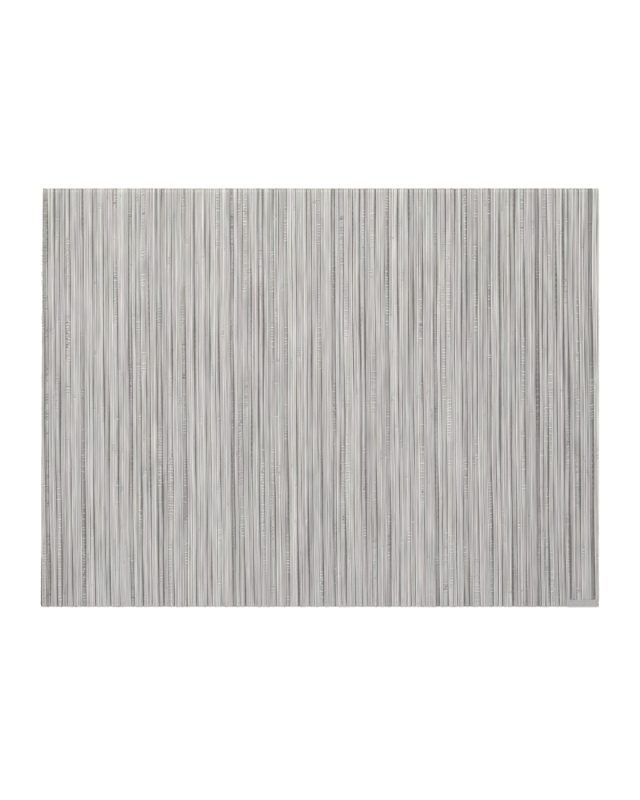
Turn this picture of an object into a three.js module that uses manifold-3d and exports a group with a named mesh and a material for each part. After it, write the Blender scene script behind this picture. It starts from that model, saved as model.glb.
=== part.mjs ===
// A flat rectangular placemat of woven vinyl, lying face up.
// It is one piece of cloth: thick coloured yarns lie side by side across it in uneven ribs, thin
// cross yarns hold them together at the back, and the cut ends are pressed flat with heat.
// Millimetres. +X runs along the long side, +Y to the mat's top edge, and +Z up from the table.
import * as THREE from "three";
import { mergeVertices } from "three/addons/utils/BufferGeometryUtils.js";
import Module from "manifold-3d";

// The whole mat.
const LENGTH = 480;
const WIDTH = 360;
const THICKNESS = 2;
// How far the upper and the lower corners stand back from the full length, as the mat was cut.
const TOP_LEFT_BACK = 1.4;
const BOTTOM_RIGHT_BACK = 0.2;

// The bands along both cut ends where heat has pressed the ribs flat.
const SEAL_BAND = 3;
const SEAL_HEIGHT = 1.4;

// The smooth plain patch pressed into the lower right corner.
const PATCH_LENGTH = 26.3;
const PATCH_WIDTH = 6.2;
const PATCH_HEIGHT = 1.2;
const PATCH_CORE = 0.3;

// One loom repeat of ribs, from left to right: the rib's width, the height of its yarns, the
// height of the groove on its left, and how many yarns lie side by side in it.
const RIBS = [
  { width: 3.4, crown: 1.75, groove: 1.15, yarns: 2 },
  { width: 6.0, crown: 1.95, groove: 0.7, yarns: 3 },
  { width: 4.3, crown: 1.8, groove: 0.8, yarns: 1 },
  { width: 4.3, crown: 2.0, groove: 0.7, yarns: 2 },
  { width: 4.7, crown: 1.6, groove: 1.15, yarns: 2 },
  { width: 4.7, crown: 1.95, groove: 0.8, yarns: 2 },
  { width: 3.9, crown: 1.85, groove: 1.15, yarns: 2 },
  { width: 3.0, crown: 1.4, groove: 1.1, yarns: 1 },
  { width: 4.3, crown: 2.0, groove: 0.7, yarns: 2 },
  { width: 3.4, crown: 1.9, groove: 1.15, yarns: 1 },
  { width: 3.4, crown: 1.9, groove: 0.7, yarns: 1 },
  { width: 6.0, crown: 1.85, groove: 1.15, yarns: 3 },
  { width: 3.9, crown: 1.7, groove: 0.75, yarns: 1 },
  { width: 4.7, crown: 2.0, groove: 0.7, yarns: 2 },
  { width: 3.4, crown: 1.85, groove: 1.15, yarns: 1 },
  { width: 4.3, crown: 1.95, groove: 0.8, yarns: 2 },
  { width: 5.2, crown: 1.9, groove: 1.15, yarns: 2 },
  { width: 2.6, crown: 1.5, groove: 0.9, yarns: 1 },
  { width: 3.4, crown: 1.95, groove: 0.75, yarns: 1 },
  { width: 4.3, crown: 1.7, groove: 1.15, yarns: 1 },
  { width: 4.3, crown: 1.95, groove: 0.7, yarns: 2 },
];

// The flank of a rib takes this share of its width, and yarns in one rib part by this much.
const FLANK_SHARE = 0.18;
const DIP_BETWEEN_YARNS = 0.15;

// Where the first repeat starts, from the mat's left side, and how many ribs lie before it.
const REPEAT_START = 3.7;
const RIBS_BEFORE = 2;

// The ribs were woven a little crooked: they lean over more and more towards the lower edge,
// and bend slightly to and fro.
const LEAN = 2.75;
const LEAN_GROWTH = 1.8;
const BENDS = [
  { reach: 0.18, alongRib: 250, acrossRibs: 190, start: 0.1 },
  { reach: 0.12, alongRib: 170, acrossRibs: -97, start: 0.6 },
];
const STEPS_ALONG_RIB = 5;

// How far the ribbed cloth runs past the mat's outline before it is cut.
const OVERCUT = 6;

const wasm = await Module();
wasm.setup();

// A closed three.js geometry as a solid that can be joined and cut.
function toSolid(geometry) {
  geometry.deleteAttribute("normal");
  geometry.deleteAttribute("uv");
  const merged = mergeVertices(geometry, 1e-4);
  return new wasm.Manifold(
    new wasm.Mesh({
      numProp: 3,
      vertProperties: merged.attributes.position.array,
      triVerts: new Uint32Array(merged.index.array),
    }),
  );
}

// A joined and cut solid as a three.js geometry.
function toGeometry(solid) {
  const mesh = solid.getMesh();
  const geometry = new THREE.BufferGeometry();
  geometry.setAttribute("position", new THREE.BufferAttribute(mesh.vertProperties, 3));
  geometry.setIndex(new THREE.BufferAttribute(mesh.triVerts, 1));
  geometry.computeVertexNormals();
  return geometry;
}

// A rectangular block between two corners.
function block(low, high) {
  const geometry = new THREE.BoxGeometry(high.x - low.x, high.y - low.y, high.z - low.z);
  geometry.translate((low.x + high.x) / 2, (low.y + high.y) / 2, (low.z + high.z) / 2);
  return toSolid(geometry);
}

// The points of one rib's upper side, from the bottom of the groove on its left.
function ribPoints(rib, left) {
  const points = [new THREE.Vector2(left, rib.groove)];
  const flank = rib.width * FLANK_SHARE;
  const span = rib.width - 2 * flank;
  for (let edge = 0; edge <= rib.yarns; edge += 1) {
    const between = edge > 0 && edge < rib.yarns;
    const height = between ? rib.crown - DIP_BETWEEN_YARNS : rib.crown;
    points.push(new THREE.Vector2(left + flank + (span * edge) / rib.yarns, height));
  }
  return points;
}

// The cloth seen on its cut end: a flat underside, and the loom repeat over and over on top.
function ribProfile() {
  const before = RIBS.slice(-RIBS_BEFORE);
  const start = REPEAT_START - LENGTH / 2 - before.reduce((sum, rib) => sum + rib.width, 0);
  const top = [];
  let left = start;
  for (let count = -RIBS_BEFORE; left < LENGTH / 2 + OVERCUT; count += 1) {
    const rib = RIBS[(count + RIBS.length) % RIBS.length];
    top.push(...ribPoints(rib, left));
    left += rib.width;
  }
  const last = new THREE.Vector2(left, RIBS[0].groove);
  const underside = [new THREE.Vector2(left, 0), new THREE.Vector2(start, 0)];
  return new THREE.Shape([...top, last, ...underside].reverse());
}

// How far a rib lies to the right of where it was set up in the loom.
function wander(x, y) {
  const down = Math.max(0.5 - y / WIDTH, 0);
  let shift = LEAN * (down ** LEAN_GROWTH - 0.5);
  for (const bend of BENDS) {
    const turns = y / bend.alongRib + x / bend.acrossRibs + bend.start;
    shift += bend.reach * Math.sin(2 * Math.PI * turns);
  }
  return shift;
}

// The ribbed cloth before it is cut to size: the profile drawn along the ribs.
function wovenCloth() {
  const run = WIDTH + 2 * OVERCUT;
  const options = { depth: run, steps: STEPS_ALONG_RIB, bevelEnabled: false };
  const geometry = new THREE.ExtrudeGeometry(ribProfile(), options);
  geometry.rotateX(Math.PI / 2);
  geometry.translate(0, run / 2, 0);
  const place = geometry.attributes.position;
  for (let i = 0; i < place.count; i += 1) {
    place.setX(i, place.getX(i) + wander(place.getX(i), place.getY(i)));
  }
  return toSolid(geometry);
}

// The mat's outline, as an upright prism through its whole thickness.
function cutOutline() {
  const halfLength = LENGTH / 2;
  const halfWidth = WIDTH / 2;
  const outline = new THREE.Shape([
    new THREE.Vector2(-halfLength, -halfWidth),
    new THREE.Vector2(halfLength - BOTTOM_RIGHT_BACK, -halfWidth),
    new THREE.Vector2(halfLength, halfWidth),
    new THREE.Vector2(-halfLength + TOP_LEFT_BACK, halfWidth),
  ]);
  const geometry = new THREE.ExtrudeGeometry(outline, { depth: 2 * THICKNESS, bevelEnabled: false });
  geometry.translate(0, 0, -THICKNESS / 2);
  return toSolid(geometry);
}

// The space above one pressed end. side is 1 at the top edge and -1 at the bottom edge.
function sealTool(side) {
  const inner = side * (WIDTH / 2 - SEAL_BAND);
  const outer = side * (WIDTH / 2 + OVERCUT);
  return block(
    new THREE.Vector3(-LENGTH, Math.min(inner, outer), SEAL_HEIGHT),
    new THREE.Vector3(LENGTH, Math.max(inner, outer), 2 * THICKNESS),
  );
}

// The block that holds the corner patch, between two heights.
function patchBlock(bottom, top, past) {
  return block(
    new THREE.Vector3(LENGTH / 2 - PATCH_LENGTH, -WIDTH / 2 - past, bottom),
    new THREE.Vector3(LENGTH / 2 + past, -WIDTH / 2 + PATCH_WIDTH, top),
  );
}

function placematSolid() {
  const outline = cutOutline();
  const pressed = wovenCloth()
    .subtract(sealTool(1))
    .subtract(sealTool(-1))
    .add(patchBlock(PATCH_CORE, PATCH_HEIGHT, OVERCUT))
    .subtract(patchBlock(PATCH_HEIGHT, 2 * THICKNESS, 2 * OVERCUT));
  return pressed.intersect(outline);
}

const vinyl = new THREE.MeshStandardMaterial({ color: 0xc0bebb, roughness: 0.45, metalness: 0 });
const placemat = new THREE.Mesh(toGeometry(placematSolid()), vinyl);
placemat.name = "placemat";

const part = new THREE.Group();
part.add(placemat);

export default part;
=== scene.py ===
# %% [markdown]
# # A woven vinyl placemat
# The object is a flat table mat, 480 mm long and 360 mm wide. It was woven on a loom from thick
# coloured vinyl yarns, which lie side by side in uneven ribs, and thin cross yarns that bind them.
# A flat picture on a slab would be the quick way to make it. Here each yarn is a mesh of its own
# shape instead, so the ribs, the grooves and the cut ends stay right from every side and close up.
# The first cell loads the solid model that every piece has to fit, and keeps its box.

# %% Load the solid model
from collections import namedtuple
from math import pi, sqrt

import bpy
import numpy as np
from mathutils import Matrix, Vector


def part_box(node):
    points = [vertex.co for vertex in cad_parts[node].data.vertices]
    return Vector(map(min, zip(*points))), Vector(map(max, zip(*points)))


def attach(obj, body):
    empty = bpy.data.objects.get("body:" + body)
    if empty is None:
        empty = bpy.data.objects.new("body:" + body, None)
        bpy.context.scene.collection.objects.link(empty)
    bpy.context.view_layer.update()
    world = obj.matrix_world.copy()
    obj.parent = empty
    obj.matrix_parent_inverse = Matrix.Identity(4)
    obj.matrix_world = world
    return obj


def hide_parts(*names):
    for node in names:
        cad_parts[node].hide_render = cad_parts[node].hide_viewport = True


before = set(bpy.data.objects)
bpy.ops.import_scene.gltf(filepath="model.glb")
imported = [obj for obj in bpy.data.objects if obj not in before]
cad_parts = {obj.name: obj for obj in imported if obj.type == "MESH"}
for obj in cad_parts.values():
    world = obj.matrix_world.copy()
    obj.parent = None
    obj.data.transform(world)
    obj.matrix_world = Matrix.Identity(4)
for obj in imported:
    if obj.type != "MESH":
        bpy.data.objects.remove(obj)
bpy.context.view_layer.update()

LOW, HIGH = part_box("placemat")
BODY = "root"
MM = 0.001
print("solid model, mm:", [round(side / MM, 2) for side in HIGH - LOW])

# %% [markdown]
# ## The camera
# The mat was photographed from straight above, with hardly any perspective: its sides stay
# parallel to the picture's. A long lens from far away gives that. One pixel of the picture is
# 0.860 mm of mat, from the mat's real length over its length in the picture, so the height that
# the lens takes in, and with it the camera's distance, follow from the picture's 800 rows.

# %% Camera
PICTURE_ROWS = 800
PICTURE_COLUMNS = 640
MAT_LENGTH_IN_PIXELS = 558.3
MAT_CENTRE_IN_PIXELS = (319.8, 397.45)
LENS = 100
SENSOR = 36

length = HIGH.x - LOW.x
width = HIGH.y - LOW.y
pixel = length / MAT_LENGTH_IN_PIXELS
distance = PICTURE_ROWS * pixel * LENS / SENSOR

lens = bpy.data.cameras.new("camera")
lens.lens = LENS
lens.sensor_width = SENSOR
lens.clip_end = 10
camera = bpy.data.objects.new("camera", lens)
camera.location = (
    (PICTURE_COLUMNS / 2 - MAT_CENTRE_IN_PIXELS[0]) * pixel,
    (MAT_CENTRE_IN_PIXELS[1] - PICTURE_ROWS / 2) * pixel,
    HIGH.z + distance,
)
bpy.context.scene.collection.objects.link(camera)
bpy.context.scene.camera = camera
print(f"one pixel is {pixel / MM:.3f} mm, and the camera is {distance:.3f} m up")

# %% [markdown]
# ## Floor and light
# A plain white floor and an even white sky give the shadowless light of a product picture. One
# big soft lamp, a warm one, stands beyond the top edge and a little to the left. It makes the
# left side of each rib brighter than the right one, which shows that the ribs stand up. The
# "Standard" view transform keeps the white floor white. Two helpers that every material needs
# come first: one turns a hex colour into linear light, and the other adds a node to a tree.

# %% Floor and light
SKY_STRENGTH = 0.876
LAMP_POWER = 15
LAMP_SIZE = 0.9
LAMP_PLACE = Vector((-0.3, 0.95, 1.25))
LAMP_COLOUR = (1.0, 0.985, 0.77)
FLOOR_HALF = 4.0


def linear(colour):
    """An sRGB hex colour, such as "#c0bebb", as the linear red, green, blue and alpha of a node."""
    parts = [int(colour[i : i + 2], 16) / 255 for i in (1, 3, 5)]
    return [c / 12.92 if c <= 0.04045 else ((c + 0.055) / 1.055) ** 2.4 for c in parts] + [1.0]


def add(tree, kind, inputs=None, **settings):
    """Adds a node to a tree. An input is given as a value, or as the socket that feeds it."""
    node = tree.nodes.new(kind)
    for name, value in settings.items():
        setattr(node, name, value)
    for name, value in (inputs or {}).items():
        if isinstance(value, bpy.types.NodeSocket):
            tree.links.new(value, node.inputs[name])
        else:
            node.inputs[name].default_value = value
    return node


bpy.context.scene.view_settings.view_transform = "Standard"
world = bpy.data.worlds.new("even white sky")
world.use_nodes = True
world.node_tree.nodes["Background"].inputs["Color"].default_value = linear("#ffffff")
world.node_tree.nodes["Background"].inputs["Strength"].default_value = SKY_STRENGTH
bpy.context.scene.world = world

lamp_data = bpy.data.lights.new("soft lamp", "AREA")
lamp_data.energy = LAMP_POWER
lamp_data.size = LAMP_SIZE
lamp_data.color = LAMP_COLOUR
lamp = bpy.data.objects.new("soft lamp", lamp_data)
lamp.location = LAMP_PLACE
lamp.rotation_euler = (-LAMP_PLACE).to_track_quat("-Z", "Y").to_euler()
bpy.context.scene.collection.objects.link(lamp)

floor_mesh = bpy.data.meshes.new("floor")
floor_corners = [(-1, -1), (1, -1), (1, 1), (-1, 1)]
floor_points = [(x * FLOOR_HALF, y * FLOOR_HALF, 0) for x, y in floor_corners]
floor_mesh.from_pydata(floor_points, [], [(0, 1, 2, 3)])
floor = bpy.data.objects.new("floor", floor_mesh)
bpy.context.scene.collection.objects.link(floor)

floor_paint = bpy.data.materials.new("matt white floor paint")
floor_paint.use_nodes = True
floor_shader = floor_paint.node_tree.nodes["Principled BSDF"]
floor_shader.inputs["Base Color"].default_value = linear("#fcfcfc")
floor_shader.inputs["Roughness"].default_value = 0.9
floor_mesh.materials.append(floor_paint)
print(f"the floor is {2 * FLOOR_HALF:.0f} m wide, and the lamp {LAMP_PLACE.length:.2f} m away")

# %% [markdown]
# ## The loom chart
# A weaver sets up a warp by a short chart that is repeated across the cloth. This one has 21 ribs
# in 87.5 mm. Each row gives a rib's width, the height of its yarns and the width of the groove on
# its left, in millimetres. A letter stands for each yarn: p is pale, l light, m mid and d dark.
# On a laddered rib the cross yarns come up to the face now and then, and show as short dashes.
# The widths and heights are those of the solid model, so the yarns lie on its ribs.

# %% Loom chart
Rib = namedtuple("Rib", "width crown groove yarns laddered")
Yarn = namedtuple("Yarn", "crown tone")
CHART = [
    Rib(3.4, 1.75, 0.15, "ml", False),
    Rib(6.0, 1.95, 0.55, "pmpm", False),
    Rib(4.3, 1.80, 0.45, "mlm", True),
    Rib(4.3, 2.00, 0.60, "lml", False),
    Rib(4.7, 1.60, 0.15, "mlm", True),
    Rib(4.7, 1.95, 0.50, "pmp", False),
    Rib(3.9, 1.85, 0.20, "lml", False),
    Rib(3.0, 1.40, 0.20, "md", True),
    Rib(4.3, 2.00, 0.50, "pmp", False),
    Rib(3.4, 1.90, 0.20, "pl", False),
    Rib(3.4, 1.90, 0.60, "ml", False),
    Rib(6.0, 1.85, 0.15, "lmpl", False),
    Rib(3.9, 1.70, 0.55, "lml", False),
    Rib(4.7, 2.00, 0.55, "pmp", False),
    Rib(3.4, 1.85, 0.20, "lm", True),
    Rib(4.3, 1.95, 0.45, "lmp", False),
    Rib(5.2, 1.90, 0.15, "pmlm", False),
    Rib(2.6, 1.50, 0.30, "dm", True),
    Rib(3.4, 1.95, 0.55, "pl", False),
    Rib(4.3, 1.70, 0.20, "mlm", True),
    Rib(4.3, 1.95, 0.50, "pll", True),
]
REPEAT_START = 3.7
RIBS_BEFORE = 2
TIGHT_GAP = 0.03

rib_edges = []
rib_rows = []
edge_places = []
edge_gaps = []
yarn_rows = []
place = LOW.x / MM + REPEAT_START - sum(rib.width for rib in CHART[-RIBS_BEFORE:])
count = -RIBS_BEFORE
while place < HIGH.x / MM + CHART[0].width:
    rib = CHART[count % len(CHART)]
    pitch = rib.width / len(rib.yarns)
    rib_edges.append(place)
    rib_rows.append((rib, len(yarn_rows)))
    for number, tone in enumerate(rib.yarns):
        edge_places.append(place + number * pitch)
        edge_gaps.append(rib.groove if number == 0 else TIGHT_GAP)
        yarn_rows.append(Yarn(rib.crown, tone))
    place += rib.width
    count += 1
edge_places = np.array(edge_places + [place])
edge_gaps = np.array(edge_gaps + [CHART[count % len(CHART)].groove])
yarn_count = len(yarn_rows)
print(f"{len(rib_rows)} ribs with {yarn_count} yarns, {sum(r.width for r in CHART):.1f} mm a repeat")

# %% [markdown]
# ## How crooked the ribs lie
# No yarn lies quite straight. All of them lean and bend together, as in the solid model, and each
# one also strays a little by itself, swells, thins, and changes its tone along its length. Sums
# of long sine waves do this without any kinks. Their lengths and phases are random, from a seeded
# generator, so that the mat comes out the same every time.

# %% Bends and waves
SEED = 17
LEAN = 2.75
LEAN_GROWTH = 1.8
Bend = namedtuple("Bend", "reach along_rib across_ribs start")
BENDS = [Bend(0.18, 250, 190, 0.1), Bend(0.12, 170, -97, 0.6)]
WAVE_SPREAD = (0.7, 1.4)
rng = np.random.default_rng(SEED)


def wander(x, y):
    """How far a rib lies to the right of where it was set up in the loom, in millimetres."""
    down = np.clip(0.5 - y / (width / MM), 0, None)
    shift = LEAN * (down**LEAN_GROWTH - 0.5)
    for bend in BENDS:
        turns = y / bend.along_rib + x / bend.across_ribs + bend.start
        shift = shift + bend.reach * np.sin(2 * pi * turns)
    return shift


def waves(y, lengths):
    """A smooth random line for each row of y, with a spread of 1, from waves of these lengths."""
    total = np.zeros_like(y)
    for wave in lengths:
        wave_length = wave * rng.uniform(*WAVE_SPREAD, (len(y), 1))
        phase = rng.uniform(0, 1, (len(y), 1))
        total += np.sin(2 * pi * (y / wave_length + phase))
    return total * sqrt(2 / len(lengths))


def ease(value):
    """Goes smoothly from 0 to 1 as the value does, and stays there outside."""
    value = np.clip(value, 0, 1)
    return value * value * (3 - 2 * value)


lean = wander(0, LOW.y / MM) - wander(0, HIGH.y / MM)
print(f"from the top edge to the bottom one a rib leans {lean:.2f} mm to the right")

# %% [markdown]
# ## The mat's outline
# The mat was cut from a long cloth. Its sides were cut slightly askew, so the upper left corner
# stands 1.4 mm back and the lower right one 0.2 mm. A yarn at the edge is cut off where the
# outline crosses it, and the cut ends are a little ragged, more so along the bottom.

# %% Outline and yarn ends
TOP_LEFT_BACK = 1.4
BOTTOM_RIGHT_BACK = 0.2
TOP_RAGGED = 0.12
BOTTOM_RAGGED = 0.60
LEAST_YARN = 0.35
PROBES = 181
half_length = length / MM / 2
half_width = width / MM / 2


def left_side(y):
    """Where the mat's left side lies at each height y."""
    return -half_length + TOP_LEFT_BACK * (y + half_width) / (2 * half_width)


def right_side(y):
    """Where the mat's right side lies at each height y."""
    return half_length - BOTTOM_RIGHT_BACK * (half_width - y) / (2 * half_width)


probe = np.linspace(-half_width, half_width, PROBES)[None, :]
edges_at_probe = edge_places[:, None] + wander(edge_places[:, None], probe)
yarn_from = np.maximum(edges_at_probe[:-1], left_side(probe))
yarn_to = np.minimum(edges_at_probe[1:], right_side(probe))
inside = yarn_to - yarn_from > LEAST_YARN
kept = np.flatnonzero(inside.any(axis=1))
inside = inside[kept]
edge_places = edge_places[kept[0] : kept[-1] + 2]
edge_gaps = edge_gaps[kept[0] : kept[-1] + 2]
yarn_rows = yarn_rows[kept[0] : kept[-1] + 1]
rib_rows = [(rib, first - kept[0]) for rib, first in rib_rows]
yarn_count = len(yarn_rows)
first_inside = probe[0][inside.argmax(axis=1)]
last_inside = probe[0][::-1][inside[:, ::-1].argmax(axis=1)]
low_end = np.maximum(first_inside, -half_width + rng.uniform(0, BOTTOM_RAGGED, yarn_count))
high_end = np.minimum(last_inside, half_width - rng.uniform(0, TOP_RAGGED, yarn_count))
print(f"{yarn_count} yarns lie inside the outline")

# %% [markdown]
# ## Where the cross yarns come up
# A cross yarn passes behind the ribs every 2.39 mm. On a laddered rib it comes to the face in
# stretches of one to six centimetres, over the whole rib or over two of its yarns, and all
# over the mat it shows for a dash or two. One strip at the left border is laddered for most of
# its length. Wherever this happens, the lengthwise yarns sink out of the way.

# %% Stretches with cross yarns on the face
CROSS_PITCH = 2.39
LADDERS_A_RIB = 7
LADDER_REACH = [4, 10, 18, 28]
LADDER_SHARE = [0.3, 0.3, 0.25, 0.15]
LADDER_SLANT = [0, 0, 0.5]
LADDER_PALE = (0.1, 0.7)
DASHES_A_RIB = 3.2
DASH_REACH = [1.1, 1.1, 2.3, 4.5]
DASH_PALE = (0, 0.8)
STRIP_START = 15
STRIP_PITCH = 32
STRIP_STRAY = 7
STRIP_REACH = (6, 14)
STRIP_PALE = 0.1
Stretch = namedtuple("Stretch", "first last low high slant pale")
stretches = []


def add_stretch(first, last, middle, reach, slant, pale):
    """Cross yarns over the yarns first to last, around a middle, as whole cross yarns."""
    count = max(round(2 * reach / CROSS_PITCH), 1)
    start = round((middle + half_width) / CROSS_PITCH - count / 2) * CROSS_PITCH - half_width
    if first >= 0 and last < yarn_count:
        stretches.append(Stretch(first, last, start, start + count * CROSS_PITCH, slant, pale))


for rib, first in rib_rows:
    places = rng.uniform(-half_width, half_width, LADDERS_A_RIB) if rib.laddered else []
    for middle in places:
        reach = rng.choice(LADDER_REACH, p=LADDER_SHARE)
        spare = len(rib.yarns) - 2
        start = first + rng.integers(spare + 1)
        last = start + 1 + (start == first) * rng.choice([0, spare])
        slant = rng.choice(LADDER_SLANT)
        add_stretch(start, last, middle, reach, slant, rng.uniform(*LADDER_PALE))
    for middle in rng.uniform(-half_width, half_width, rng.poisson(DASHES_A_RIB)):
        start = first + rng.integers(len(rib.yarns))
        last = min(start + rng.integers(2), first + len(rib.yarns) - 1)
        add_stretch(start, last, middle, rng.choice(DASH_REACH), 0, rng.uniform(*DASH_PALE))
_, left_strip = rib_rows[RIBS_BEFORE]
for middle in np.arange(-half_width + STRIP_START, half_width, STRIP_PITCH):
    middle += rng.uniform(-STRIP_STRAY, STRIP_STRAY)
    add_stretch(left_strip, left_strip + 1, middle, rng.uniform(*STRIP_REACH), 0, STRIP_PALE)
print(f"{len(stretches)} stretches with cross yarns on the face")

# %% [markdown]
# ## Steps along each yarn
# A yarn runs straight for centimetres and then changes within a millimetre, where it dives under
# a cross yarn or into a pressed end. So its steps aren't even: each yarn gets the same number of
# them, crowded wherever it changes quickly. That keeps the mesh light and the changes crisp.
# How crowded they are is worked out for every quarter of a millimetre of the yarn's length.

# %% Steps
STEPS = 108
WIDE_STEP = 8.0
FINE_STEP = 0.45
FINE_AT_ENDS = 7.5
FINE_AT_STRETCH = 0.9
SINK_OVER = 0.9
QUARTERS = 1441
NO_STEPS = 1e-6

fine_y = np.linspace(-half_width, half_width, QUARTERS)
crowding = np.full((yarn_count, len(fine_y)), 1 / WIDE_STEP)
crowding[:, half_width - np.abs(fine_y) < FINE_AT_ENDS] = 1 / FINE_STEP
for stretch in stretches:
    from_change = np.minimum(np.abs(fine_y - stretch.low), np.abs(fine_y - stretch.high))
    crowding[stretch.first : stretch.last + 1, from_change < FINE_AT_STRETCH] = 1 / FINE_STEP
crowding[(fine_y < low_end[:, None]) | (fine_y > high_end[:, None])] = NO_STEPS
crowded = np.cumsum(crowding, axis=1)
crowded = (crowded - crowded[:, :1]) / (crowded[:, -1:] - crowded[:, :1])
even = np.linspace(0, 1, STEPS)
along = np.stack([np.interp(even, row, fine_y) for row in crowded])
along = np.clip(along, low_end[:, None], high_end[:, None])
along[:, 0] = low_end
along[:, -1] = high_end

sink = np.zeros_like(along)
for stretch in stretches:
    rows = slice(stretch.first, stretch.last + 1)
    way_in = ease((along[rows] - stretch.low) / SINK_OVER + 0.5)
    way_out = ease((stretch.high - along[rows]) / SINK_OVER + 0.5)
    sink[rows] = np.maximum(sink[rows], way_in * way_out)
print(f"{STEPS} steps along each yarn, the widest {np.diff(along).max():.1f} mm apart")

# %% [markdown]
# ## The shape of every yarn
# Each yarn lies between two edges, which it shares with its neighbours, so yarns touch without
# cutting into each other. The gap at an edge is a hair's breadth inside a rib, and a groove
# between two ribs, a little wider towards the right side. A yarn on the outline fills the cloth
# out to the cut.

# %% Sides of every yarn
EDGE_STRAY = 0.07
GROOVE_STRAY = 0.13
EVEN_PLACES = 91
GAP_SHARE = 0.88
GAP_STRAY = 0.55
RIGHT_OPENS = 0.34
RIGHT_STARTS = 100.0
RIGHT_OVER = 80.0


def between(lines, number, place):
    """The value of one yarn's line at a place along it."""
    return np.interp(place, along[number], lines[number])


def at_steps(lines, side):
    """The lines of all the edges on one side of the yarns, 0 left or 1 right, at their steps."""
    return np.stack([np.interp(along[i], even_y[0], lines[i + side]) for i in range(yarn_count)])


def alone(neighbour_low, neighbour_high):
    """Where a yarn has no neighbour on one side, from the places where those neighbours end."""
    return (along < neighbour_low[:, None]) | (along > neighbour_high[:, None])


spread = np.where(edge_gaps > TIGHT_GAP, GROOVE_STRAY, EDGE_STRAY)[:, None]
even_y = np.linspace(-half_width, half_width, EVEN_PLACES) + np.zeros((len(edge_places), 1))
stray = spread * waves(even_y, (120, 400))
gap_swell = GAP_SHARE * np.exp(GAP_STRAY * waves(even_y, (110, 400)))
wider = 1 + RIGHT_OPENS * ease((edge_places - RIGHT_STARTS) / RIGHT_OVER)[:, None]
edge_lines = edge_places[:, None] + wander(edge_places[:, None], even_y) + stray
gap_lines = np.maximum(edge_gaps[:, None] * wider * gap_swell, TIGHT_GAP)
left_edge = at_steps(edge_lines, 0)
right_edge = at_steps(edge_lines, 1)
left_gap = at_steps(gap_lines, 0)
right_gap = at_steps(gap_lines, 1)
alone_left = alone(np.append(np.inf, first_inside[:-1]), np.append(-np.inf, last_inside[:-1]))
alone_right = alone(np.append(first_inside[1:], np.inf), np.append(last_inside[1:], -np.inf))
cut_left = left_side(along)
cut_right = right_side(along)
left = np.where(alone_left, cut_left, np.maximum(left_edge + left_gap / 2, cut_left))
right = np.where(alone_right, cut_right, np.minimum(right_edge - right_gap / 2, cut_right))
too_thin = np.maximum(LEAST_YARN - (right - left), 0)
left = np.maximum(left - too_thin / 2, cut_left)
right = np.minimum(np.maximum(right, left + LEAST_YARN), cut_right)
print(f"yarns are {np.mean(right - left):.2f} mm wide")

# %% [markdown]
# ## The height of every yarn
# Each yarn's crown has its rib's height, less where it sinks under the cross yarns. At both cut
# ends a hot bar has pressed the yarns flat and left a row of small bumps 2.3 mm from the edge. In
# the lower right corner a smooth patch is pressed into the cloth, and the yarns end low under it.

# %% Height of every yarn
CROWN_STRAY = 0.05
SUNK_HEIGHT = 1.42
YARN_BOTTOM = 0.30
SEAL_BAND = 3.0
SEAL_EASE = 0.8
SEAL_HEIGHT = 1.40
SEAL_BUMP = 0.12
BUMP_FROM_END = 2.3
BUMP_HALF = 0.45
PATCH_LENGTH = 26.3
PATCH_WIDTH = 6.2
PATCH_EASE = 1.2
UNDER_PATCH = 1.02

crown = np.array([yarn.crown for yarn in yarn_rows])[:, None]
crown = crown + CROWN_STRAY * waves(along, (45, 120)) - CROWN_STRAY
crown += (SUNK_HEIGHT - crown) * sink
from_end = half_width - np.abs(along)
sealed = 1 - ease((from_end - SEAL_BAND) / SEAL_EASE + 0.5)
bump = SEAL_BUMP * np.exp(-(((from_end - BUMP_FROM_END) / BUMP_HALF) ** 2))
crown += (SEAL_HEIGHT + bump - SEAL_BUMP - crown) * sealed
patch_edge_x = half_length - PATCH_LENGTH
patch_edge_y = -half_width + PATCH_WIDTH
in_patch = ease(left - patch_edge_x + 0.5) * ease((patch_edge_y - along) / PATCH_EASE + 0.5)
crown += (np.minimum(crown, UNDER_PATCH) - crown) * in_patch
print(f"crowns stand up to {crown.max():.2f} mm high")

# %% [markdown]
# ## From numbers to a mesh
# All the yarns are closed tubes: rings of points, one ring a step, joined by four-sided faces,
# with a face over each end. One helper makes many tubes as a single mesh straight from arrays,
# which takes a moment even for hundreds of thousands of faces. Every point also keeps two facts
# for the materials: the yarn's tone there, from 0 for dark to 1 for pale, and its place in the
# yarn in millimetres, across and along, so that fine streaks can follow the yarn's own course.

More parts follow.
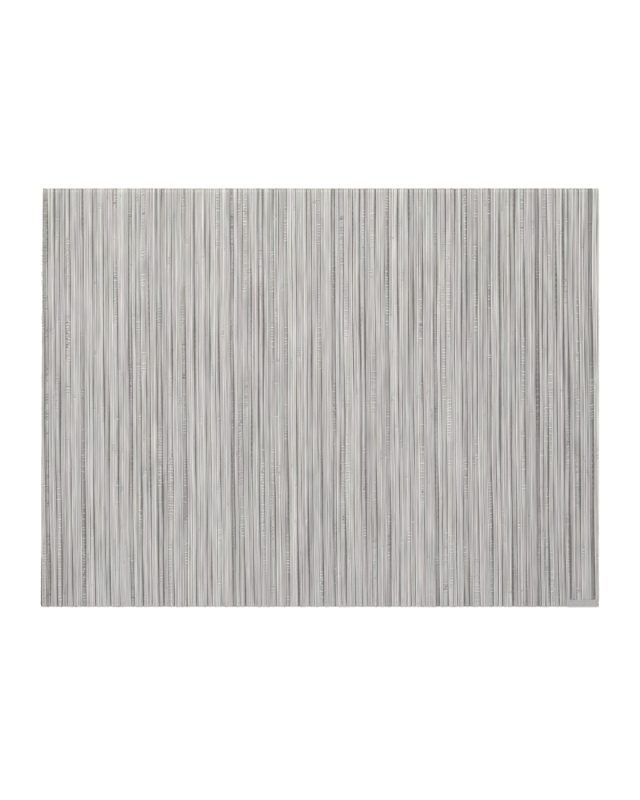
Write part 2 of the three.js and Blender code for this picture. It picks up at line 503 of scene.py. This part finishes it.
# %% Tube meshes
def tubes(name, rings, tones, threads, material):
    """Closed tubes from rings[tube, step, side, xyz] in mm, with a tone and a place per point."""
    number, stations, sides, _ = rings.shape
    index = np.arange(number * stations * sides).reshape(number, stations, sides)
    across = np.roll(index, -1, axis=2)
    walls = np.stack([index[:, :-1], across[:, :-1], across[:, 1:], index[:, 1:]], axis=-1)
    loops = np.concatenate([walls.ravel(), index[:, 0, ::-1].ravel(), index[:, -1].ravel()])
    sizes = np.concatenate([np.full(walls.size // 4, 4), np.full(2 * number, sides)])
    mesh = bpy.data.meshes.new(name)
    mesh.vertices.add(index.size)
    mesh.vertices.foreach_set("co", (rings * MM).astype(np.float32).ravel())
    mesh.loops.add(len(loops))
    mesh.loops.foreach_set("vertex_index", loops.astype(np.int32))
    mesh.polygons.add(len(sizes))
    mesh.polygons.foreach_set("loop_start", (np.cumsum(sizes) - sizes).astype(np.int32))
    mesh.update(calc_edges=True)
    smooth = np.arange(len(sizes)) < walls.size // 4
    mesh.polygons.foreach_set("use_smooth", smooth)
    tone = mesh.attributes.new("tone", "FLOAT", "POINT")
    tone.data.foreach_set("value", np.broadcast_to(tones, index.shape).astype(np.float32).ravel())
    thread = mesh.attributes.new("thread", "FLOAT_VECTOR", "POINT")
    thread.data.foreach_set("vector", threads.astype(np.float32).ravel())
    mesh.materials.append(material)
    piece = bpy.data.objects.new(name, mesh)
    bpy.context.scene.collection.objects.link(piece)
    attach(piece, BODY)
    triangles = 2 * (walls.size // 4) + 2 * number * (sides - 2)
    print(f"{name}: {number} tubes, {triangles} triangles")
    return piece


# %% [markdown]
# ## The yarn's material
# The yarns are soft PVC, drawn through a die and coloured in the mass. Drawn vinyl has a satin
# skin with fine lines along its length, and an IOR of about 1.53. The tone picks the grey from
# a ramp of four plain greys, which the warm lamp turns warmer. A streak pattern 1.6 mm wide and
# 24 mm long shifts it a little, and one 8 mm wide and 60 mm long tints it, as one batch of yarn
# differs from the next. A third, 0.25 mm wide, raises the fine lines, as coarse as they have to
# be to show. Noise lies mostly between 0.3 and 0.7, so that part of it is used.

# %% Vinyl yarn material
STREAK_WIDTH = 1.6
STREAK_LENGTH = 24.0
STREAK_SHIFT = 0.11
LINE_WIDTH = 0.25
LINE_LENGTH = 60.0
TINT_WIDTH = 8.0
TINT_LENGTH = 60.0
TINT_GAIN = 0.11
GREYS = [(0.0, "#525053"), (0.35, "#878588"), (0.7, "#b1afb2"), (1.0, "#cbc9cc")]
PVC_IOR = 1.53
NOISE_LOW = 0.3
NOISE_HIGH = 0.7


def drawn_out(tree, place, width, length, detail):
    """A noise that is drawn out along the yarns, from its width and its length."""
    scaled = add(tree, "ShaderNodeMapping", {"Vector": place, "Scale": (1 / width, 1 / length, 1)})
    inputs = {"Vector": scaled.outputs["Vector"], "Scale": 1.0, "Detail": detail}
    return add(tree, "ShaderNodeTexNoise", inputs)


def vinyl(name, greys, roughness, line_height):
    """Vinyl whose grey follows the tone kept on the mesh, with streaks, tints and fine lines."""
    material = bpy.data.materials.new(name)
    material.use_nodes = True
    tree = material.node_tree
    shader = tree.nodes["Principled BSDF"]
    tone = add(tree, "ShaderNodeAttribute", attribute_name="tone")
    thread = add(tree, "ShaderNodeAttribute", attribute_name="thread")
    streaks = drawn_out(tree, thread.outputs["Vector"], STREAK_WIDTH, STREAK_LENGTH, 1.0)
    streak_shift = add(
        tree,
        "ShaderNodeMapRange",
        {
            "Value": streaks.outputs["Fac"],
            "From Min": NOISE_LOW,
            "From Max": NOISE_HIGH,
            "To Min": -STREAK_SHIFT,
            "To Max": STREAK_SHIFT,
        },
        clamp=False,
    )
    toned = add(
        tree,
        "ShaderNodeMath",
        {0: tone.outputs["Fac"], 1: streak_shift.outputs["Result"]},
        operation="ADD",
    )
    ramp = add(tree, "ShaderNodeValToRGB", {"Fac": toned.outputs["Value"]})
    for stop, (position, colour) in enumerate(greys):
        if stop < 2:
            element = ramp.color_ramp.elements[stop]
            element.position = position
        else:
            element = ramp.color_ramp.elements.new(position)
        element.color = linear(colour)
    coordinates = add(tree, "ShaderNodeTexCoord")
    tints = drawn_out(tree, coordinates.outputs["Object"], TINT_WIDTH * MM, TINT_LENGTH * MM, 1.0)
    tint = add(
        tree,
        "ShaderNodeVectorMath",
        {0: tints.outputs["Color"], 1: [TINT_GAIN] * 3, 2: [1 - TINT_GAIN / 2] * 3},
        operation="MULTIPLY_ADD",
    )
    tinted = add(
        tree,
        "ShaderNodeVectorMath",
        {0: ramp.outputs["Color"], 1: tint.outputs["Vector"]},
        operation="MULTIPLY",
    )
    lines = drawn_out(tree, thread.outputs["Vector"], LINE_WIDTH, LINE_LENGTH, 3.0)
    raised = add(
        tree,
        "ShaderNodeBump",
        {"Height": lines.outputs["Fac"], "Distance": line_height * MM, "Strength": 1.0},
    )
    tree.links.new(tinted.outputs["Vector"], shader.inputs["Base Color"])
    tree.links.new(raised.outputs["Normal"], shader.inputs["Normal"])
    shader.inputs["Roughness"].default_value = roughness
    shader.inputs["IOR"].default_value = PVC_IOR
    return material


drawn_vinyl = vinyl("drawn vinyl yarn", GREYS, roughness=0.42, line_height=0.010)
print(f"{drawn_vinyl.name}: {len(drawn_vinyl.node_tree.nodes)} nodes")

# %% [markdown]
# ## The lengthwise yarns
# A yarn's section has seven points: a flat foot, two sides, two shoulders and a crown. Inside a
# rib the sides meet high up, so the yarns look nearly like one broad band. At a groove the side
# drops off low, and painted shade darkens it while a painted highlight lightens the shoulder over
# it, which makes the line between two ribs. A strip beside each side border is darker, and the
# right one is widest near both ends. The pressed ends carry a band of painted shade and a row of
# painted highlights as paler dots, and some tips carry painted shadow. A yarn is a little darker
# where it sinks under cross yarns, which is painted shade. Yarns are kept in one piece for each
# tone, as on the bobbins.

# %% Lengthwise yarns
TONES = {"p": 0.85, "l": 0.75, "m": 0.62, "d": 0.50}
TONE_STRAY_YARN = 0.03
TONE_STRAY_ALONG = 0.045
TONE_WAVES = [(0.5, 60), (0.5, 200), (0.9, 600)]
SIDE_IN_RIB = 0.86
SIDE_AT_GROOVE = 0.46
SHOULDER_RISE = 0.55
OPEN_GROOVE = 0.55
# painted shade on yarns where they sink under cross yarns
SUNK_PAINTED_SHADE = 0.02
RIGHT_DEEPENS = 0.20
STRIP_TONE_DROP = 0.18
STRIP_WIDENS_FROM = 60.0
STRIP_WIDENS_OVER = 60.0
BORDER_TONE_RISE = 0.08
# painted highlight on the shoulders and painted shade on the low sides at a groove
RIM_PAINTED_LIGHT_AND_SHADE = 0.07
# painted shade in a band along the pressed ends
BAND_PAINTED_SHADE = 0.03
BAND_WIDTH = 1.8
BAND_EASE = 0.6
# painted highlights as a row of dots on the crest beside the pressed ends
DOT_PAINTED_HIGHLIGHT = 0.10
DOT_HALF = 0.4
DOT_SPREAD = (0.3, 1.2)
# painted shadow at the tips of some yarns
TIP_PAINTED_SHADOW = 0.25
TIP_LENGTH = 1.2
SHADOWED_TIPS_SHARE = 0.3
STREAK_OFFSET = 7.3

tone = np.array([TONES[yarn.tone] for yarn in yarn_rows])[:, None]
right_part = ease((edge_places[:-1] - RIGHT_STARTS) / RIGHT_OVER)[:, None]
tone = tone - (TONES["p"] - tone) * RIGHT_DEEPENS * right_part
right_strip = max(row for row, yarn in enumerate(yarn_rows) if yarn.tone == "d")
tone[[left_strip, left_strip + 1, right_strip]] -= STRIP_TONE_DROP
tone[right_strip + 1 :] += BORDER_TONE_RISE
tone = tone + TONE_STRAY_YARN * rng.normal(size=(yarn_count, 1))
tone_waves = sum(weight * waves(along, (wave,)) for weight, wave in TONE_WAVES)
tone = tone + TONE_STRAY_ALONG * tone_waves
strip_widens = ease((np.abs(along[right_strip - 1]) - STRIP_WIDENS_FROM) / STRIP_WIDENS_OVER)
tone[right_strip - 1] += (tone[right_strip] - tone[right_strip - 1]) * strip_widens
bare_tone = tone
# painted shade where the yarns sink under the cross yarns
tone = tone - SUNK_PAINTED_SHADE * sink
# painted highlights as a row of paler dots on the crest by the pressed ends
painted_highlight_dots = np.exp(-(((from_end - BUMP_FROM_END) / DOT_HALF) ** 2))
painted_highlight_dots = painted_highlight_dots * rng.uniform(*DOT_SPREAD, (yarn_count, 1))
# painted shade in a band along the pressed ends
painted_shade_band = ease((BAND_WIDTH - from_end) / BAND_EASE + 0.5)
tone += DOT_PAINTED_HIGHLIGHT * painted_highlight_dots - BAND_PAINTED_SHADE * painted_shade_band
# painted shadow at the cut tips of some yarns
has_painted_tip_shadow = rng.uniform(size=(yarn_count, 1)) < SHADOWED_TIPS_SHARE
tone -= TIP_PAINTED_SHADOW * has_painted_tip_shadow * (1 - ease(from_end / TIP_LENGTH))

open_left = np.clip(left_gap / OPEN_GROOVE, 0, 1)
open_right = np.clip(right_gap / OPEN_GROOVE, 0, 1)
side_left = SIDE_IN_RIB + (SIDE_AT_GROOVE - SIDE_IN_RIB) * open_left
side_right = SIDE_IN_RIB + (SIDE_AT_GROOVE - SIDE_IN_RIB) * open_right
shoulder_left = SHOULDER_RISE + (1 - SHOULDER_RISE) * side_left
shoulder_right = SHOULDER_RISE + (1 - SHOULDER_RISE) * side_right
foot = np.zeros_like(along)
top = np.ones_like(along)
section_x = np.array([-0.38, -0.5, -0.30, 0.0, 0.30, 0.5, 0.38])
section_z = np.stack(
    [foot, side_left, shoulder_left, top, shoulder_right, side_right, foot], axis=-1
)
# rim: painted highlight on the shoulders, painted shade on the sides beside a groove
rim = np.stack([foot, -open_left, open_left, foot, open_right, -open_right, foot], axis=-1)
tones = np.clip(tone[..., None] + RIM_PAINTED_LIGHT_AND_SHADE * rim, 0, 1)
span = (right - left)[..., None]
yarn_x = ((left + right) / 2)[..., None] + span * section_x
yarn_z = YARN_BOTTOM + (crown - YARN_BOTTOM)[..., None] * section_z
yarn_y = np.broadcast_to(along[..., None], yarn_x.shape)
rings = np.stack([yarn_x, yarn_y, yarn_z], axis=-1)
yarn_place = np.arange(yarn_count)[:, None, None] * STREAK_OFFSET
threads = np.stack([yarn_place + span * section_x, yarn_y, np.zeros_like(yarn_x)], axis=-1)

piece_names = {"p": "pale_yarns", "l": "light_yarns", "m": "mid_yarns", "d": "dark_yarns"}
for letter, name in piece_names.items():
    rows = [row for row, yarn in enumerate(yarn_rows) if yarn.tone == letter]
    piece = tubes(name, rings[rows], tones[rows], threads[rows], drawn_vinyl)

# %% [markdown]
# ## The cross yarns on the back
# Thin flat cross yarns hold the ribs together. Each goes behind one rib and through the cloth
# over the next, and the next cross yarn does it the other way round, as in any plain weave. From
# above they are hidden, but for cut ends that stand a little proud of the sides. From below they
# are what shows that the mat is woven.

# %% Cross yarns
CROSS_HALF_WIDTH = 0.72
CROSS_HALF_HEIGHT = 0.17
CROSS_LOW = 0.21
CROSS_HIGH = 0.62
CROSS_END_PROUD = 0.25
CROSS_END_SHORT = 0.1
LEAST_APART = 0.01
CROSS_TONE = 0.6
CROSS_TONE_STRAY = 0.08
CROSS_STREAK_OFFSET = 3.1

cross_y = np.arange(-half_width + CROSS_PITCH / 2, half_width - CROSS_HALF_WIDTH, CROSS_PITCH)
rib_middles = np.array([edge + rib.width / 2 for edge, (rib, _) in zip(rib_edges, rib_rows)])
cross_x = rib_middles[None, :] + wander(rib_middles[None, :], cross_y[:, None])
low_tips = left_side(cross_y) - rng.uniform(-CROSS_END_SHORT, CROSS_END_PROUD, len(cross_y))
high_tips = right_side(cross_y) + rng.uniform(-CROSS_END_SHORT, CROSS_END_PROUD, len(cross_y))
least_x = low_tips[:, None] + LEAST_APART * np.arange(len(rib_middles))
most_x = high_tips[:, None] - LEAST_APART * np.arange(len(rib_middles))[::-1]
cross_x = np.clip(cross_x, least_x, most_x)
turns = (np.arange(len(cross_y))[:, None] + np.arange(len(rib_middles))[None, :]) % 2
cross_z = np.where(turns == 0, CROSS_LOW, CROSS_HIGH)
cross_section = np.array([(1, 0), (0.6, 1), (-0.6, 1), (-1, 0), (-0.6, -1), (0.6, -1)])
cross_shape = cross_x.shape + (len(cross_section),)
cross_path_y = cross_y[:, None, None] + CROSS_HALF_WIDTH * cross_section[:, 0]
cross_rings = np.stack(
    [
        np.broadcast_to(cross_x[..., None], cross_shape),
        np.broadcast_to(cross_path_y, cross_shape),
        cross_z[..., None] + CROSS_HALF_HEIGHT * cross_section[:, 1],
    ],
    axis=-1,
)
cross_tone = CROSS_TONE + CROSS_TONE_STRAY * rng.normal(size=(len(cross_y), 1, 1))
cross_place = cross_rings[..., 1] * CROSS_STREAK_OFFSET
cross_threads = np.stack([cross_place, cross_rings[..., 0], np.zeros(cross_shape)], axis=-1)
for start, name in ((0, "cross_yarns_odd"), (1, "cross_yarns_even")):
    rows = slice(start, None, 2)
    piece = tubes(name, cross_rings[rows], cross_tone[rows], cross_threads[rows], drawn_vinyl)

# %% [markdown]
# ## The dashes on the face
# Where a cross yarn comes up, it shows as a low arch over the sunken lengthwise yarns. In the
# stretches that are slanted, two yarns twist round each other, so the dashes lean like the turns
# of a rope. Each arch is a short tube that dips at both ends into the grooves beside the rib.

# %% Dashes
DASH_HALF_WIDTH = 0.52
DASH_STRAY = 0.28
DASHES_MISSING = 0.42
DASH_HALF_HEIGHT = 0.20
DASH_TOP = 1.80
DASH_FOOT = 1.05
DASH_SPAN = 0.52
LEAST_DASH = 0.8
END_CLEAR = 4.0
PATCH_CLEAR = 1.0
DASH_TONE_RISE = 0.05
PALE_TONE_RISE = 0.13
DASH_TONE_STRAY = 0.06
DARKEST_DASH = 0.3
DASH_STREAK_OFFSET = 5.7
dash_way = np.array([-1, -0.75, -0.35, 0.35, 0.75, 1])
dash_x, dash_mid_y, dash_slant, dash_tone = [], [], [], []
for stretch in stretches:
    beside_patch = edge_places[stretch.last] > patch_edge_x - 2 * PATCH_CLEAR
    for y in cross_y[(cross_y > stretch.low) & (cross_y < stretch.high)]:
        if abs(y) > half_width - END_CLEAR:
            continue
        if beside_patch and y < patch_edge_y + PATCH_CLEAR:
            continue
        low_x = between(left, stretch.first, y)
        high_x = between(right, stretch.last, y)
        if high_x - low_x < LEAST_DASH:
            continue
        if rng.uniform() < DASHES_MISSING:
            continue
        dash_x.append((low_x, high_x))
        dash_mid_y.append(y + rng.uniform(-DASH_STRAY, DASH_STRAY))
        dash_slant.append(stretch.slant)
        bare = between(bare_tone, stretch.first, y)
        rise = DASH_TONE_RISE + PALE_TONE_RISE * stretch.pale + DASH_TONE_STRAY * rng.normal()
        dash_tone.append(np.clip(bare + rise, DARKEST_DASH, 1))
dash_x = np.array(dash_x)
dash_mid = dash_x.mean(axis=1)[:, None]
dash_half = DASH_SPAN * (dash_x[:, 1] - dash_x[:, 0])[:, None]
path_x = dash_mid + dash_half * dash_way
path_y = np.array(dash_mid_y)[:, None] + np.array(dash_slant)[:, None] * dash_way
path_z = DASH_FOOT + (DASH_TOP - DASH_HALF_HEIGHT - DASH_FOOT) * (1 - np.abs(dash_way) ** 4)
dash_shape = path_x.shape + (len(cross_section),)
dash_rings = np.stack(
    [
        np.broadcast_to(path_x[..., None], dash_shape),
        path_y[..., None] + DASH_HALF_WIDTH * cross_section[:, 0],
        np.broadcast_to(path_z[..., None] + DASH_HALF_HEIGHT * cross_section[:, 1], dash_shape),
    ],
    axis=-1,
)
dash_place = dash_rings[..., 1] * DASH_STREAK_OFFSET
dash_threads = np.stack([dash_place, dash_rings[..., 0], np.zeros(dash_shape)], axis=-1)
dash_tones = np.array(dash_tone)[:, None, None]
dashes = tubes("face_dashes", dash_rings, dash_tones, dash_threads, drawn_vinyl)

# %% [markdown]
# ## The ground between the yarns
# Down in the grooves lies a ground: the close, thin binding of the cloth, which lets no light
# through. Its dark grey is painted shade for the grooves. It is a thin closed sheet with a low
# ridge over every cross yarn, a little inside the mat's outline. The helper makes such a sheet
# from one grid: an upper and a lower face, joined round the rim.

# %% Ground sheet
GROUND_TOP = 0.58
GROUND_BOTTOM = 0.44
GROUND_RIDGE = 0.10
GROUND_BACK = 0.35
GROUND_COLUMNS = 6
STEPS_A_RIDGE = 4


def closed_sheet(name, x, y, upper, lower, material):
    """A thin closed sheet over a grid of places in mm, between an upper and a lower height."""
    heights = np.stack([upper, lower])
    points = np.stack([np.stack([x, x]), np.stack([y, y]), heights], axis=-1).reshape(-1, 3)
    grid = np.arange(x.size).reshape(x.shape)
    corners = [grid[:-1, :-1], grid[:-1, 1:], grid[1:, 1:], grid[1:, :-1]]
    top = np.stack(corners, axis=-1).reshape(-1, 4)
    rim = np.concatenate([grid[0, :-1], grid[:-1, -1], grid[-1, :0:-1], grid[:0:-1, 0]])
    rim_next = np.roll(rim, -1)
    walls = np.stack([rim, rim + x.size, rim_next + x.size, rim_next], axis=-1)
    faces = np.concatenate([top, (top + x.size)[:, ::-1], walls])
    mesh = bpy.data.meshes.new(name)
    mesh.from_pydata((points * MM).tolist(), [], faces.tolist())
    mesh.update()
    mesh.materials.append(material)
    piece = bpy.data.objects.new(name, mesh)
    bpy.context.scene.collection.objects.link(piece)
    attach(piece, BODY)
    print(f"{name}: {2 * len(faces)} triangles")
    return piece


def mottled_vinyl(name, dark, pale, size, roughness):
    """A plain vinyl skin in two close greys, mottled at a size in mm."""
    material = bpy.data.materials.new(name)
    material.use_nodes = True
    tree = material.node_tree
    shader = tree.nodes["Principled BSDF"]
    coordinates = add(tree, "ShaderNodeTexCoord")
    noise = add(
        tree,
        "ShaderNodeTexNoise",
        {"Vector": coordinates.outputs["Object"], "Scale": 1 / (size * MM), "Detail": 3.0},
    )
    spread = add(
        tree,
        "ShaderNodeMapRange",
        {"Value": noise.outputs["Fac"], "From Min": NOISE_LOW, "From Max": NOISE_HIGH},
    )
    grey = add(
        tree,
        "ShaderNodeMix",
        {"Factor": spread.outputs["Result"], "A": linear(dark), "B": linear(pale)},
        data_type="RGBA",
    )
    tree.links.new(grey.outputs["Result"], shader.inputs["Base Color"])
    shader.inputs["Roughness"].default_value = roughness
    shader.inputs["IOR"].default_value = PVC_IOR
    return material


ground_rows = len(cross_y) * STEPS_A_RIDGE + 1
ground_v = np.linspace(-half_width + GROUND_BACK, half_width - GROUND_BACK, ground_rows)[:, None]
ground_u = np.linspace(0, 1, GROUND_COLUMNS + 1)[None, :]
ground_left = left_side(ground_v) + GROUND_BACK
ground_right = right_side(ground_v) - GROUND_BACK
ground_x = ground_left + (ground_right - ground_left) * ground_u
ground_y = ground_v + np.zeros_like(ground_x)
ridge = 0.5 + 0.5 * np.cos(2 * pi * (ground_y - cross_y[0]) / CROSS_PITCH)
# the ground's dark grey is painted shade down in the grooves
ground_vinyl_and_painted_shade = mottled_vinyl(
    "close woven ground vinyl", "#605e5d", "#787675", size=2.0, roughness=0.6
)
ground = closed_sheet(
    "ground_cloth",
    ground_x,
    ground_y,
    GROUND_TOP + GROUND_RIDGE * ridge,
    np.full_like(ground_x, GROUND_BOTTOM),
    ground_vinyl_and_painted_shade,
)
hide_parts("placemat")

# %% [markdown]
# ## The corner patch
# In the lower right corner a hot stamp has melted the yarns into a smooth, plain patch of mid
# grey, 26 by 6 mm. Its left and upper borders are softly rounded and not quite straight, the
# other two are the mat's own cut edges, and the yarns under it show through as a faint imprint.

# %% Corner patch
PATCH_TOP = 1.18
PATCH_UNDER = 0.60
PATCH_ROUNDING = 0.9
PATCH_BORDER_DROP = 0.30
PATCH_WAVE = 0.12
PATCH_IMPRINT = 0.03
IMPRINT_PITCH = 2.1
PATCH_EDGE_BACK = 0.05
PATCH_COLUMNS = 70
PATCH_ROWS = 24
WAVES_ON_TOP = 3.3
WAVES_ON_LEFT = 1.4

patch_u = np.linspace(0, 1, PATCH_COLUMNS + 1)[None, :]
patch_v = np.linspace(0, 1, PATCH_ROWS + 1)[:, None]
patch_top_y = patch_edge_y + PATCH_WAVE * np.sin(2 * pi * patch_u * WAVES_ON_TOP + 1)
patch_y = -half_width + PATCH_EDGE_BACK + (patch_top_y + half_width - PATCH_EDGE_BACK) * patch_v
patch_left_x = patch_edge_x + PATCH_WAVE * np.sin(2 * pi * patch_v * WAVES_ON_LEFT)
patch_x = patch_left_x + (right_side(patch_y) - PATCH_EDGE_BACK - patch_left_x) * patch_u
inward = np.minimum(patch_x - patch_left_x, patch_top_y - patch_y) / PATCH_ROUNDING
rounded = np.sqrt(1 - (1 - np.clip(inward, 0, 1)) ** 2)
imprint = PATCH_IMPRINT * np.sin(2 * pi * patch_x / IMPRINT_PITCH)
patch_upper = PATCH_TOP - PATCH_BORDER_DROP * (1 - rounded) + imprint * rounded
patch_lower = np.full_like(patch_x, PATCH_UNDER)
pressed_vinyl = mottled_vinyl("hot pressed vinyl", "#9a989d", "#a8a6ab", size=1.6, roughness=0.38)
patch = closed_sheet("corner_patch", patch_x, patch_y, patch_upper, patch_lower, pressed_vinyl)
